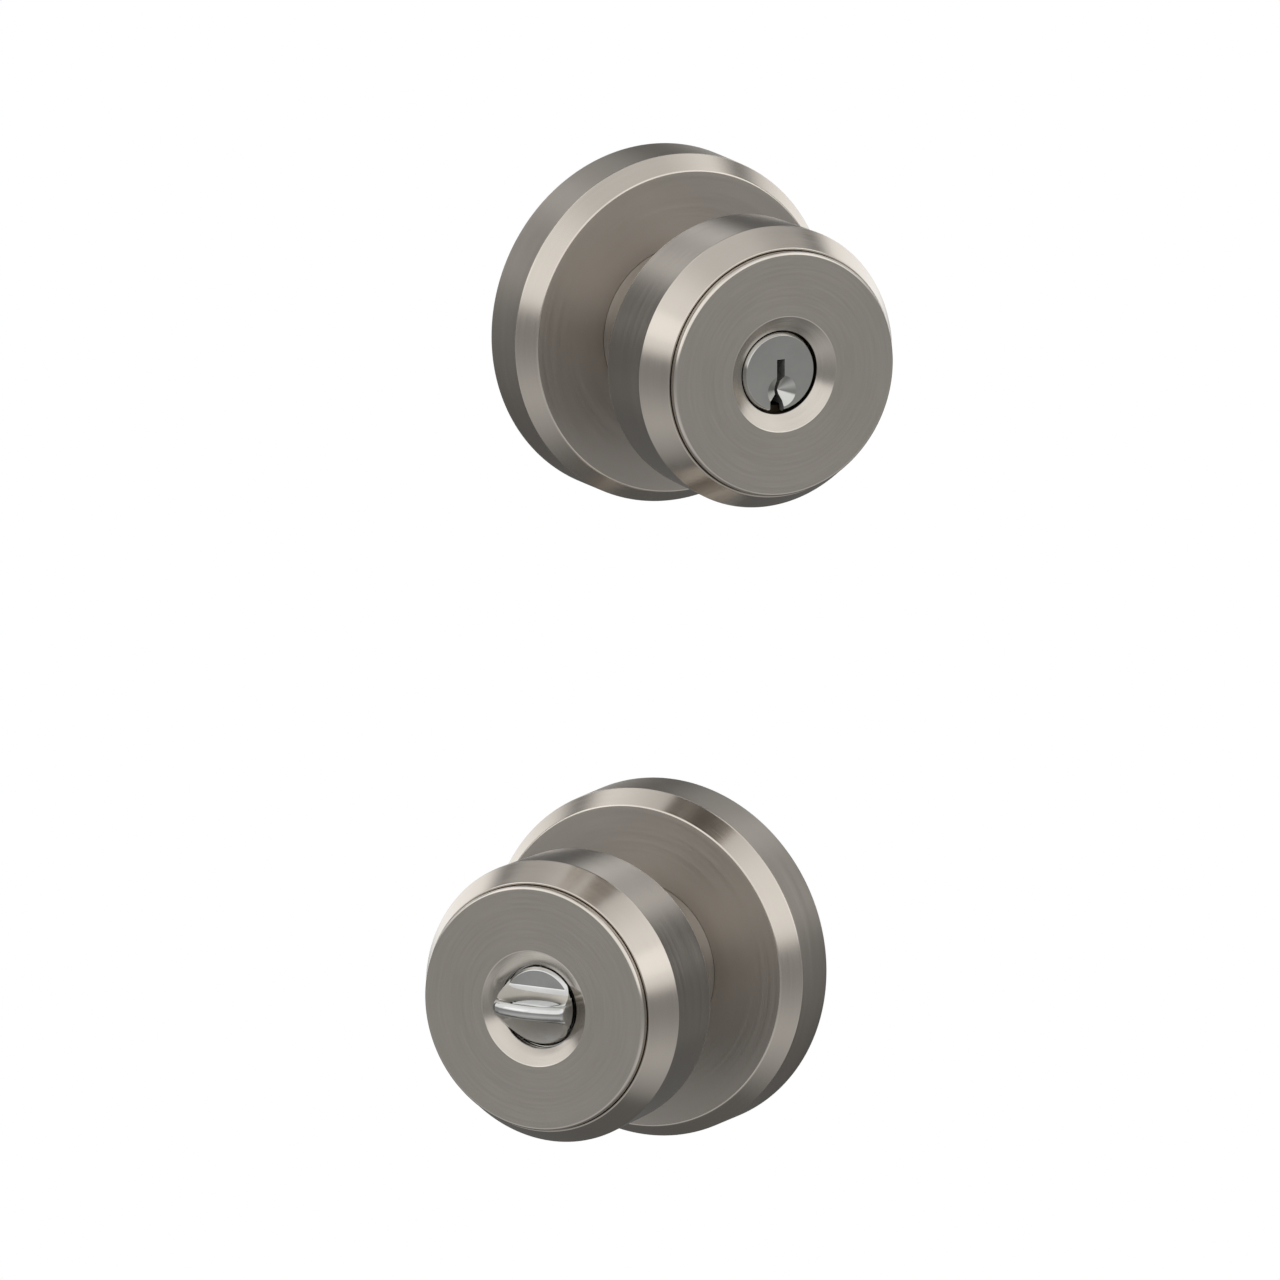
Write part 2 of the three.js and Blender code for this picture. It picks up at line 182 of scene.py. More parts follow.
def prism(name, outline, z0, z1, matrix, bevel=0.15, angle=25, segments=2):
    """An outline pushed along z, its sharp edges broken."""
    bm = bmesh.new()
    low = [bm.verts.new(Vector((x, y, z0)) * MM) for x, y in outline]
    high = [bm.verts.new(Vector((x, y, z1)) * MM) for x, y in outline]
    n = len(outline)
    bm.faces.new(list(reversed(low)))
    bm.faces.new(high)
    for i in range(n):
        k = (i + 1) % n
        bm.faces.new((low[i], low[k], high[k], high[i]))
    bmesh.ops.recalc_face_normals(bm, faces=bm.faces)
    if bevel:
        edges = [e for e in bm.edges if e.calc_face_angle(0) > math.radians(angle)]
        bmesh.ops.bevel(bm, geom=edges, offset=bevel * MM, segments=segments, profile=0.5, affect="EDGES", clamp_overlap=True)
    me = bpy.data.meshes.new(name)
    bm.to_mesh(me)
    bm.free()
    ob = bpy.data.objects.new(name, me)
    bpy.context.scene.collection.objects.link(ob)
    ob.matrix_world = matrix
    smooth(ob)
    return ob


def smooth(ob, degrees=32):
    for poly in ob.data.polygons:
        poly.use_smooth = True
    ob.data.set_sharp_from_angle(angle=math.radians(degrees))


def cut(ob, cutter, operation="DIFFERENCE", materials=False):
    bpy.context.view_layer.update()
    mod = ob.modifiers.new("cut", "BOOLEAN")
    mod.operation = operation
    mod.solver = "EXACT"
    mod.object = cutter
    mod.material_mode = "TRANSFER" if materials else "INDEX"
    deps = bpy.context.evaluated_depsgraph_get()
    deps.update()
    me = bpy.data.meshes.new_from_object(ob.evaluated_get(deps))
    ob.modifiers.clear()
    ob.data = me
    bpy.data.objects.remove(cutter)
    return ob


def plain_lathe(name, profile, matrix, segments=128, at=(0.0, 0.0), steps=5):
    """A turned piece that is cut afterwards, so its normals come from its faces."""
    ob = lathe(name, profile, matrix, segments, at, steps=steps)
    if ob.data.attributes.get("custom_normal"):
        ob.data.attributes.remove(ob.data.attributes["custom_normal"])
    return ob


def bar(x0, x1, y0, y1):
    return [(x0, y0), (x1, y0), (x1, y1), (x0, y1)]


def arc(r, a0, a1, n):
    return [(r * math.cos(math.radians(a0 + (a1 - a0) * i / n)), r * math.sin(math.radians(a0 + (a1 - a0) * i / n))) for i in range(n + 1)]


# ------------------------------------------------------------------ node arithmetic
class E:
    """A value in a node tree that can be used in sums."""

    def __init__(self, tree, socket):
        self.t, self.s = tree, socket

    def op(self, kind, *others):
        n = self.t.nodes.new("ShaderNodeMath")
        n.operation = kind
        for i, v in enumerate((self,) + others):
            if isinstance(v, E):
                self.t.links.new(v.s, n.inputs[i])
            else:
                n.inputs[i].default_value = v
        return E(self.t, n.outputs[0])

    def __add__(self, o): return self.op("ADD", o)
    def __sub__(self, o): return self.op("SUBTRACT", o)
    def __mul__(self, o): return self.op("MULTIPLY", o)
    def __truediv__(self, o): return self.op("DIVIDE", o)

    def ramp(self, lo, hi, a=0.0, b=1.0, kind="SMOOTHSTEP"):
        n = self.t.nodes.new("ShaderNodeMapRange")
        n.interpolation_type = kind
        self.t.links.new(self.s, n.inputs["Value"])
        for k, v in (("From Min", lo), ("From Max", hi), ("To Min", a), ("To Max", b)):
            n.inputs[k].default_value = v
        return E(self.t, n.outputs["Result"])


def split(tree, socket):
    n = tree.nodes.new("ShaderNodeSeparateXYZ")
    tree.links.new(socket, n.inputs[0])
    return [E(tree, n.outputs[i]) for i in range(3)]


def join(tree, *values):
    n = tree.nodes.new("ShaderNodeCombineXYZ")
    for i, v in enumerate(values):
        if isinstance(v, E):
            tree.links.new(v.s, n.inputs[i])
        else:
            n.inputs[i].default_value = v
    return n.outputs[0]


def noise(tree, vector, scale, detail=3.0, rough=0.55, w=None):
    n = tree.nodes.new("ShaderNodeTexNoise")
    n.noise_dimensions = "4D" if w is not None else "3D"
    tree.links.new(vector, n.inputs["Vector"])
    if w is not None:
        tree.links.new(w.s, n.inputs["W"])
    n.inputs["Scale"].default_value = scale
    n.inputs["Detail"].default_value = detail
    n.inputs["Roughness"].default_value = rough
    return E(tree, n.outputs["Fac"])


def blend_colour(tree, fac, a, b):
    n = tree.nodes.new("ShaderNodeMix")
    n.data_type = "RGBA"
    tree.links.new(fac.s, n.inputs[0])
    for socket, v in ((n.inputs[6], a), (n.inputs[7], b)):
        if isinstance(v, tuple):
            socket.default_value = (*v, 1)
        else:
            tree.links.new(v, socket)
    return n.outputs[2]


def new_material(name):
    m = bpy.data.materials.new(name)
    m.use_nodes = True
    m.node_tree.nodes.clear()
    t = m.node_tree
    out = t.nodes.new("ShaderNodeOutputMaterial")
    bsdf = t.nodes.new("ShaderNodeBsdfPrincipled")
    t.links.new(bsdf.outputs[0], out.inputs[0])
    bsdf.inputs["Metallic"].default_value = 1.0
    return m, t, bsdf


def bump(t, bsdf, height, strength, distance):
    n = t.nodes.new("ShaderNodeBump")
    n.inputs["Strength"].default_value = strength
    n.inputs["Distance"].default_value = distance
    t.links.new(height.s, n.inputs["Height"])
    t.links.new(n.outputs[0], bsdf.inputs["Normal"])


def edge_value(t):
    n = t.nodes.new("ShaderNodeAttribute")
    n.attribute_name = "edge"
    return E(t, n.outputs["Fac"])


def turned_metal(name, dark, light, rough, aniso, grain=2600, streak=1.3, depth=1.0, mottling=0.5, shine=0.9):
    """Metal with the fine rings that turning and circular brushing leave, about the piece's own z axis."""
    m, t, bsdf = new_material(name)
    co = t.nodes.new("ShaderNodeTexCoord").outputs["Object"]
    x, y, z = split(t, co)
    r = (x * x + y * y).op("SQRT")
    rr = r.op("MAXIMUM", 0.0004)
    cx, sy = x / rr, y / rr
    rings = noise(t, join(t, r * grain, cx * streak, sy * streak), 1.0, 4.0, 0.62, z * grain)
    broad = noise(t, join(t, r * (grain * 0.16), cx * (streak * 0.4), sy * (streak * 0.4)), 1.0, 2.0, 0.5, z * (grain * 0.16))
    cloud = noise(t, co, 65.0, 3.0, 0.6)
    tone = rings * 0.6 + broad * 0.32 + cloud * 0.08
    tone = tone.ramp(0.5 - 0.22 / max(mottling, 0.05) * 0.5, 0.5 + 0.22 / max(mottling, 0.05) * 0.5, 0.0, 1.0, "LINEAR")
    colour = blend_colour(t, tone, dark, light)
    wear = edge_value(t) * (cloud.ramp(0.38, 0.62, 0.45, 1.0))
    colour = blend_colour(t, wear * shine, colour, tuple(min(1.0, c * 1.22) for c in light))
    t.links.new(colour, bsdf.inputs["Base Color"])
    base = rings.ramp(0.3, 0.7, rough * 0.86, rough * 1.16, "LINEAR") + cloud.ramp(0.3, 0.7, -0.015, 0.015, "LINEAR")
    t.links.new((base - wear * (rough * 0.3)).s, bsdf.inputs["Roughness"])
    bsdf.inputs["Anisotropic"].default_value = aniso
    bsdf.inputs["Anisotropic Rotation"].default_value = 0.25
    tan = t.nodes.new("ShaderNodeTangent")
    tan.direction_type = "RADIAL"
    tan.axis = "Z"
    t.links.new(tan.outputs[0], bsdf.inputs["Tangent"])
    bump(t, bsdf, rings * 0.8 + broad * 0.2, 0.22 * depth, 0.00001)
    return m


def polished_metal(name, dark, light, rough, scale=420.0, depth=0.05):
    """Bright plate: faint clouding, hairline scratches and slightly uneven polish."""
    m, t, bsdf = new_material(name)
    co = t.nodes.new("ShaderNodeTexCoord").outputs["Object"]
    cloud = noise(t, co, scale * 0.35, 3.0, 0.6)
    x, y, z = split(t, co)
    hair = noise(t, join(t, x * 2400.0, y * 160.0, z * 900.0), 1.0, 2.0, 0.7)
    colour = blend_colour(t, cloud.ramp(0.3, 0.7, 0.0, 1.0, "LINEAR"), dark, light)
    wear = edge_value(t)
    colour = blend_colour(t, wear * 0.6, colour, tuple(min(1.0, c * 1.1) for c in light))
    t.links.new(colour, bsdf.inputs["Base Color"])
    t.links.new((cloud.ramp(0.3, 0.7, rough * 0.7, rough * 1.4, "LINEAR") + hair.ramp(0.62, 0.8, 0.0, 0.05)).s, bsdf.inputs["Roughness"])
    bump(t, bsdf, cloud * 0.7 + hair * 0.3, depth, 0.00001)
    return m


def rolled_metal(name, dark, light, rough, scale=900.0, depth=0.25, lines=True):
    """Pressed, cast or drawn metal in its plating: fine grain, clouding and worn corners."""
    m, t, bsdf = new_material(name)
    co = t.nodes.new("ShaderNodeTexCoord").outputs["Object"]
    grain = noise(t, co, scale * 3.0, 4.0, 0.65)
    cloud = noise(t, co, scale * 0.22, 3.0, 0.55)
    x, y, z = split(t, co)
    drawn = noise(t, join(t, x * 2200.0, y * 240.0, z * 500.0), 1.0, 3.0, 0.6)
    tone = cloud * 0.5 + grain * 0.25 + (drawn if lines else grain) * 0.25
    colour = blend_colour(t, tone.ramp(0.36, 0.64, 0.0, 1.0, "LINEAR"), dark, light)
    geo = t.nodes.new("ShaderNodeNewGeometry")
    point = E(t, geo.outputs["Pointiness"]).ramp(0.53, 0.62, 0.0, 0.7)
    wear = edge_value(t).op("MAXIMUM", point)
    colour = blend_colour(t, wear, colour, tuple(min(1.0, c * 1.18) for c in light))
    t.links.new(colour, bsdf.inputs["Base Color"])
    t.links.new((cloud.ramp(0.3, 0.7, rough * 0.8, rough * 1.2, "LINEAR") - wear * (rough * 0.25)).s, bsdf.inputs["Roughness"])
    bump(t, bsdf, grain * 0.6 + (drawn if lines else cloud) * 0.4, depth, 0.00002)
    return m


NICKEL = turned_metal("satin_nickel", (0.563, 0.520, 0.468), (0.616, 0.570, 0.515), 0.205, 0.35, mottling=0.35, depth=0.35)
NICKEL_FACE = turned_metal("satin_nickel_face", (0.556, 0.520, 0.472), (0.620, 0.580, 0.530), 0.215, 0.35, grain=2200, streak=1.6, mottling=0.55, depth=0.5)
# rougher copy of the satin nickel; its darker colour is painted shade, laid on the rose face and on the knob's neck
NICKEL_ROUGH_SHADED = turned_metal("satin_nickel_rough_shaded", (0.462, 0.430, 0.394), (0.512, 0.478, 0.438), 0.43, 0.30, grain=2200, streak=1.0, mottling=0.4, depth=0.4)
# rougher copy of the satin nickel; its darker colour is painted shade on the rose's outer side wall
NICKEL_SIDE_SHADED = turned_metal("satin_nickel_side_shaded", (0.425, 0.393, 0.354), (0.470, 0.436, 0.393), 0.36, 0.35, mottling=0.35, depth=0.35)
CHROME = polished_metal("polished_chrome", (0.585, 0.590, 0.585), (0.690, 0.694, 0.690), 0.055)
CHROME_FACE = polished_metal("polished_chrome_plug", (0.545, 0.545, 0.528), (0.590, 0.590, 0.572), 0.07, depth=0.03)
PLATED = turned_metal("plated_steel", (0.42, 0.43, 0.44), (0.60, 0.61, 0.62), 0.34, 0.25, grain=900, streak=1.2, depth=0.8, mottling=0.7)
STEEL = rolled_metal("plated_steel_drawn", (0.44, 0.445, 0.45), (0.62, 0.625, 0.63), 0.33)
SPRING = rolled_metal("spring_steel", (0.27, 0.28, 0.30), (0.46, 0.47, 0.49), 0.28, 1400.0)
BRASS = rolled_metal("brass", (0.20, 0.145, 0.075), (0.40, 0.30, 0.15), 0.42)
# near-black brass: painted shade where the housing shows through the keyway and below the plug head
BRASS_PAINTED_SHADE = rolled_metal("brass_painted_shade", (0.016, 0.013, 0.009), (0.040, 0.031, 0.020), 0.6)
WARD = rolled_metal("broached_wall", (0.30, 0.30, 0.29), (0.44, 0.44, 0.43), 0.5, 1500.0)
WARD.node_tree.nodes["Principled BSDF"].inputs["Metallic"].default_value = 0.7
ZINC = rolled_metal("zinc_plated", (0.50, 0.51, 0.52), (0.68, 0.69, 0.70), 0.38, 1100.0, 0.35, lines=False)


def piece(ob, material, body, slot, *nodes):
    if material:
        ob.data.materials.clear()
        ob.data.materials.append(material)
    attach(ob, body)
    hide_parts(*nodes)
    return ob


def painted_shade_band(ob, material, wanted):
    """A second material on the faces picked by radius and height in millimetres; here always a rougher, darker copy of
    the nickel whose darker colour is painted shade.
    """
    ob.data.materials.append(material)
    k = len(ob.data.materials) - 1
    for f in ob.data.polygons:
        c = f.center / MM
        if wanted(math.hypot(c.x, c.y), c.z):
            f.material_index = k


# ------------------------------------------------------------------ rose, knob shell, cap
ROSE = [
    (30.4, 0, 0.2), (33.4, 0, 0.25), (33.4, 9.6, 0.55), (30.8, 13.45, 0.5), (16.62, 13.45, 0.06), (16.62, 12.25, 0.15),
    (30.3, 12.25, 0.4), (32.2, 9.1, 0.5), (32.2, 1.2, 0.2), (30.4, 1.2, 0.1),
]
SHELL = (
    [(15.0, 12.7, 0.1), (16.57, 12.7, 0.03), (16.57, 13.5, 0.03)]
    + spline([(16.4, 14.0), (16.15, 15.4), (16.0, 17.2), (16.0, 19.5), (16.6, 22.2), (17.8, 24.7), (19.6, 27.0), (22.0, 29.4), (24.2, 31.35), (25.7, 32.55)])
    + [(26.62, 33.3, 0.9), (27.05, 46.7, 0.5), (23.92, 52.5, 0.22), (23.56, 52.5, 0.14), (23.56, 51.3, 0.05), (25.9, 46.4, 0.4), (25.4, 34.2, 0.5)]
    + spline([(23.3, 32.1), (20.9, 29.8), (18.6, 27.6), (16.4, 24.8), (15.1, 21.6), (14.75, 18.5), (14.9, 15.0)])
)
CAP = (
    [(23.45, 50.6, 0.1), (23.45, 54.1, 0.62), (11.1, 54.1, 0.5)]
    + spline([(10.45, 53.67), (9.9, 53.31), (9.3, 52.92), (8.7, 52.51)])
    + [(8.05, 52.08, 0.22), (8.05, 50.95, 0.05), (8.75, 50.95, 0.05), (11.45, 53.0, 0.3), (22.45, 53.0, 0.3), (22.45, 50.6, 0.1)]
)
SLEEVE = [
    (7.0, -1.2, 0.2), (8.4, -1.2, 0.25), (8.4, -0.2, 0.06), (7.7, -0.2, 0.05), (7.7, 1.0, 0.05), (8.4, 1.0, 0.06),
    (8.4, 20.2, 0.6), (14.2, 20.2, 0.2), (14.6, 21.8, 0.2), (7.0, 21.8, 0.2),
]
INSERT = [(7.6, 22.6, 0.2), (14.9, 22.6, 0.2), (15.8, 25.0, 0.2), (16.4, 26.4, 0.2), (7.6, 26.4, 0.2)]

HALVES = (
    ("outside", OUTSIDE, "outside_knob", "outside_chassis_plate"),
    ("inside", INSIDE, "inside_knob", "inside_mounting_plate"),
)
for side, M, knob, plate in HALVES:
    rose = piece(lathe(f"{side}_rose_turned", ROSE, M, 224), NICKEL, "fixed_frame", "satin_nickel", f"{side}_rose")
    # rose face: rougher nickel whose darker colour is painted shade
    painted_shade_band(rose, NICKEL_ROUGH_SHADED, lambda r, z: z > 13.43 and r < 30.6)
    # rose's outer side wall: darker nickel copy, painted shade
    painted_shade_band(rose, NICKEL_SIDE_SHADED, lambda r, z: r > 33.38 and z < 9.4)
    shell = piece(lathe(f"{side}_knob_body", SHELL, M, 224, steps=6), NICKEL, knob, "satin_nickel", f"{side}_knob_shell")
    # knob neck and back of the drum: rougher nickel whose darker colour is painted shade behind the drum
    painted_shade_band(shell, NICKEL_ROUGH_SHADED, lambda r, z: z < 32.6)
    piece(lathe(f"{side}_knob_face", CAP, M, 224, steps=6), NICKEL_FACE, knob, "satin_nickel", f"{side}_knob_cap")
    piece(lathe(f"{side}_sleeve_turned", SLEEVE, M, 96), PLATED, knob, "plated_steel", f"{side}_knob_sleeve")
    piece(lathe(f"{side}_insert_cast", INSERT, M, 96), ZINC, knob, "zinc_plated", f"{side}_knob_insert")

    # pressed bearing plate: two fixing holes, a raised collar, a stop for the spring and a shallow pressed ring
    p = plain_lathe(f"{side}_plate_pressed", [
        (8.7, 1.2, 0.15), (11.6, 1.2, 0.2), (12.0, 1.5, 0.2), (24.4, 1.5, 0.2), (24.8, 1.2, 0.2), (29.8, 1.2, 0.25), (29.8, 2.6, 0.25),
        (10.2, 2.6, 0.4), (10.2, 6.0, 0.2), (8.7, 6.0, 0.15),
    ], M, 128)
    for y in (19.05, -19.05):
        cut(p, prism("hole", [(q[0], q[1] + y) for q in arc(2.5, 0, 360 - 360 / 40, 39)], -1, 5, M, 0))
    stop = arc(15.8, 350, 359, 3) + list(reversed(arc(13.8, 350, 359, 3)))
    cut(p, prism("stop", stop, 2.2, 5.6, M, 0.1), "UNION")
    smooth(p)
    piece(p, PLATED, "fixed_frame", "plated_steel", plate)

    # open retaining ring in the sleeve's groove
    outline = arc(10.5, -76, 256, 72) + list(reversed(arc(8.0, -76, 256, 72)))
    piece(prism(f"{side}_ring_open", outline, 0.05, 0.75, M, 0.12), SPRING, knob, "spring_steel", f"{side}_retaining_ring")

    # drive cam with its two lugs
    c = plain_lathe(f"{side}_cam_pressed", [(8.7, 9.2, 0.1), (10.4, 9.2, 0.15), (10.4, 10.4, 0.15), (8.7, 10.4, 0.1)], M, 96)
    for a in (90, 270):
        lug = arc(14.2, a - 12, a + 12, 8) + list(reversed(arc(9.6, a - 12, a + 12, 8)))
        cut(c, prism("lug", lug, 9.25, 10.35, M, 0.12), "UNION")
    smooth(c)
    piece(c, STEEL, knob, "plated_steel", f"{side}_drive_cam")

# ------------------------------------------------------------------ mounting posts and screws
POST = [
    (0, -4.0), (1.7, -5.0, 0.1), (1.7, -21.6, 0.1), (2.1, -22.0, 0.1), (2.95, -22.0, 0.1), (3.2, -21.7, 0.1), (3.2, -2.2, 0.3), (4.4, -1.4, 0.2),
    (4.4, 0.85, 0.15), (2.2, 0.85, 0.1), (2.2, 2.95, 0.1), (3.6, 2.95, 0.3), (3.2, 3.9, 0.4), (0, 4.2),
]
for which, y in (("upper", 19.05), ("lower", -19.05)):
    piece(lathe(f"mounting_post_{which}_turned", POST, OUTSIDE, 56, (0, y), open_ends=True), ZINC, "fixed_frame", "zinc_plated", f"mounting_post_{which}")


def screw(name, y):
    """Pan-head machine screw with a real thread and a cross recess."""
    pitch, core, crest, seg = 0.8, 1.62, 2.0, 28
    z0, z1 = -27.0, 0.6
    rows = int((z1 - z0) / 0.1)
    verts, faces = [(0, y, z0)], []
    for i in range(rows + 1):
        z = z0 + (z1 - z0) * i / rows
        fade = min(1.0, (z - z0) / 0.9)
        end = min(1.0, max(0.0, (z1 - z) / 0.8))
        for j in range(seg):
            a = 2 * math.pi * j / seg
            f = (z / pitch - j / seg) % 1.0
            tri = 1 - abs(2 * f - 1)
            tri = min(1.0, max(0.0, (tri - 0.08) / 0.78))
            r = core + (crest - core) * (1 - (1 - tri) * end)
            r = r * (0.74 + 0.26 * fade)
            verts.append((r * math.cos(a), y + r * math.sin(a), z))
    head = [(2.0, 1.2), (2.0, 2.75), (2.15, 2.9), (3.72, 2.9), (3.88, 3.02), (3.9, 3.2), (3.84, 3.75), (3.6, 4.25), (3.2, 4.66), (2.6, 4.94), (1.8, 5.1), (0.9, 5.18)]
    for r, z in head:
        for j in range(seg):
            a = 2 * math.pi * j / seg
            verts.append((r * math.cos(a), y + r * math.sin(a), z))
    n = rows + 1 + len(head)
    top = len(verts)
    verts.append((0, y, 5.2))
    for j in range(seg):
        k = (j + 1) % seg
        faces.append((0, 1 + k, 1 + j))
        for i in range(n - 1):
            a, b = 1 + i * seg, 1 + (i + 1) * seg
            faces.append((a + j, a + k, b + k, b + j))
        a = 1 + (n - 1) * seg
        faces.append((a + j, a + k, top))
    ob = mesh_object(name, verts, faces, matrix=INSIDE)
    for w, h in ((0.45, 1.9), (1.9, 0.45)):
        cut(ob, prism("slot", [(px, py + y) for px, py in bar(-w, w, -h, h)], 3.9, 7, INSIDE, 0))
    smooth(ob, 38)
    return ob


for which, y in (("upper", 19.05), ("lower", -19.05)):
    piece(screw(f"screw_{which}_threaded", y), ZINC, "fixed_frame", "zinc_plated", f"screw_{which}")

# ------------------------------------------------------------------ spindle, tailpiece, stem, sockets
channel = arc(4.8, 150, 390, 40) + list(reversed(arc(3.4, 150, 390, 40)))
piece(prism("spindle_channel", channel, -44, 4.6, OUTSIDE, 0.2), STEEL, "outside_knob", "plated_steel", "spindle")
tail = [(-2.4, -0.75), (2.4, -0.75), (2.4, 0.75), (-2.4, 0.75)]
piece(prism("tailpiece_bar", tail, -40, 24.9, OUTSIDE, 0.22, segments=3), STEEL, "key_core", "plated_steel", "tailpiece")
piece(prism("button_stem_bar", tail, -4, 48.95, INSIDE, 0.22, segments=3), STEEL, "button", "plated_steel", "button_stem")
piece(lathe("spindle_bushing_turned", [(5.1, 0.5, 0.2), (6.7, 0.5, 0.2), (6.7, 6.2, 0.2), (5.1, 6.2, 0.2)], OUTSIDE, 80), ZINC, "outside_knob", "zinc_plated", "spindle_bushing")
piece(lathe("spindle_socket_turned", [(5.1, 0.5, 0.3), (6.7, 0.5, 0.25), (6.7, 16.0, 0.25), (5.1, 16.0, 0.2)], INSIDE, 80), ZINC, "inside_knob", "zinc_plated", "spindle_socket")
piece(lathe("plug_retainer_disc", [(0, 25.2), (7.0, 25.2, 0.2), (7.0, 26.5, 0.2), (0, 26.5)], OUTSIDE, 64, open_ends=True), STEEL, "key_core", "plated_steel", "plug_retainer")
piece(lathe("button_seat_turned", [
    (3.2, 45.9, 0.1), (12.0, 45.9, 0.2), (12.0, 50.6, 0.2), (10.9, 50.6, 0.1), (10.9, 47.2, 0.2), (3.2, 47.2, 0.1),
], INSIDE, 80), ZINC, "inside_knob", "zinc_plated", "button_seat")

# ------------------------------------------------------------------ key plug
KEYWAY = [
    (-0.64, 2.5), (-0.64, -0.9), (-0.42, -1.6), (-0.42, -4.4), (-1.2, -4.9), (-2.1, -5.4), (-2.1, -8.6),
    (0.8, -8.6), (0.8, -5.6), (0.42, -4.4), (0.42, -1.7), (1.0, -0.9), (1.0, 2.5),
]
LEAD_IN, LEAD_R, LEAD_DEPTH = (0.39, -3.66), 3.0, 2.0
plug = plain_lathe("key_plug_cut", [
    (0, 26.9), (6.4, 26.9, 0.2), (6.4, 50.62, 0.05), (7.69, 50.8, 0.1), (7.69, 51.75, 0.12), (7.12, 52.4, 0.1), (0, 52.4),
], OUTSIDE, 128)
plug.data.materials.append(CHROME_FACE)
plug.data.materials.append(WARD)
way = prism("way", list(reversed(KEYWAY)), 28.6, 54, OUTSIDE, 0)
way.data.materials.append(WARD)
cut(plug, way, materials=True)
over = 0.05
mouth = plain_lathe("mouth", [
    (0, 52.4 - LEAD_DEPTH), (LEAD_R * (1 + over / LEAD_DEPTH), 52.4 + over, 0.001), (LEAD_R, 54.0, 0.001), (0, 54.0),
], OUTSIDE, 96, LEAD_IN)
mouth.data.materials.append(CHROME_FACE)
cut(plug, mouth, materials=True)
smooth(plug, 24)
piece(plug, None, "key_core", "polished_chrome", "key_plug")


# ------------------------------------------------------------------ turn button
def turn_button():
    """A bevelled disc whose cross blade is left by two round scoops; rows follow the scoops."""
    R, flat, top, half, scoop, zc = 7.65, 52.55, 58.5, 1.4, 7.2, 58.0
    dome_pts = [(0, 58.5), (1.5, 58.46), (3.0, 58.28), (4.4, 58.02), (5.6, 57.70), (6.6, 57.30), (7.15, 56.92), (7.45, 56.5), (7.6, 56.15), (7.65, 55.7)]

    def dome(r):
        for (r0, z0), (r1, z1) in zip(dome_pts, dome_pts[1:]):
            if r <= r1:
                f = (r - r0) / (r1 - r0)
                return z0 + (z1 - z0) * f
        return dome_pts[-1][1]

    def floor(r, y, roof):
        z = flat
        if y < 0:                                          # the lower scoop is wider and falls away to the edge
            u = R + y
            z = min(51.5 + 0.36 * u + 0.049 * u * u, roof - 0.4)
        return z - max(0.0, r - (R - 0.55))

    def side(y):
        y = abs(y)
        if y <= half:
            return 60.0
        d = scoop ** 2 - (half + scoop - y) ** 2
        return zc - math.sqrt(max(0.0, d))

    def smin(a, b, k):
        h = max(k - abs(a - b), 0.0) / k
        return min(a, b) - h * h * k * 0.25

    def smax(a, b, k):
        return -smin(-a, -b, k)

    ys = []
    for i in range(61):                                    # up the scoop's wall, even in height
        z = 58.0 - (58.0 - 52.3) * i / 60
        ys.append(half + scoop - math.sqrt(scoop ** 2 - (zc - z) ** 2))
    ys += [ys[-1] + (R - 0.004 - ys[-1]) * math.sin(i / 26 * math.pi / 2) for i in range(1, 27)]
    inner = [half * i / 14 for i in range(14)]
    ys = sorted(set([round(v, 5) for v in inner + ys]))
    ys = [-v for v in reversed(ys[1:])] + ys
    cols = 96
    verts, faces, grid = [], [], []
    for y in ys:
        xm = math.sqrt(max(1e-6, R * R - y * y))
        row = []
        for j in range(cols + 1):
            s = math.sin((j / cols - 0.5) * math.pi)
            x = xm * s
            r = min(R, math.hypot(x, y))
            lip = 1.25 * (1 - math.sqrt(max(0.0, 1 - (y / 1.5) ** 2)))
            z = smax(floor(r, y, dome(r) - lip), smin(dome(r) - lip, side(y), 0.5), 0.12)
            row.append(len(verts))
            verts.append((x, y, z))
        grid.append(row)
    for a, b in zip(grid, grid[1:]):
        for j in range(cols):
            faces.append((a[j], a[j + 1], b[j + 1], b[j]))
    # round the edge: right side upwards, top row, left side downwards, bottom row
    loop = [row[-1] for row in grid] + list(reversed(grid[-1][:-1])) + [row[0] for row in reversed(grid[:-1])] + grid[0][1:-1]
    base = []
    levels = [(R, 50.75), (R + 0.15, 50.6), (9.3, 50.6), (9.4, 50.5), (9.4, 49.4), (9.3, 49.3)]
    previous = loop
    for radius, z in levels:
        ring = []
        for v in loop:
            x, y = verts[v][0], verts[v][1]
            k = radius / max(1e-6, math.hypot(x, y))
            ring.append(len(verts))
            verts.append((x * k, y * k, z))
        n = len(loop)
        for j in range(n):
            k = (j + 1) % n
            faces.append((previous[k], previous[j], ring[j], ring[k]))
        previous = ring
    centre = len(verts)
    verts.append((0, 0, 49.3))
    for j in range(len(previous)):
        faces.append((previous[(j + 1) % len(previous)], previous[j], centre))
    ob = mesh_object("turn_button_scooped", verts, faces, matrix=INSIDE)
    bm = bmesh.new()
    bm.from_mesh(ob.data)
    bmesh.ops.remove_doubles(bm, verts=bm.verts, dist=0.000004)
    bmesh.ops.recalc_face_normals(bm, faces=bm.faces)
    bm.to_mesh(ob.data)
    bm.free()
    smooth(ob, 40)
    return ob


piece(turn_button(), CHROME, "button", "polished_chrome", "turn_button")

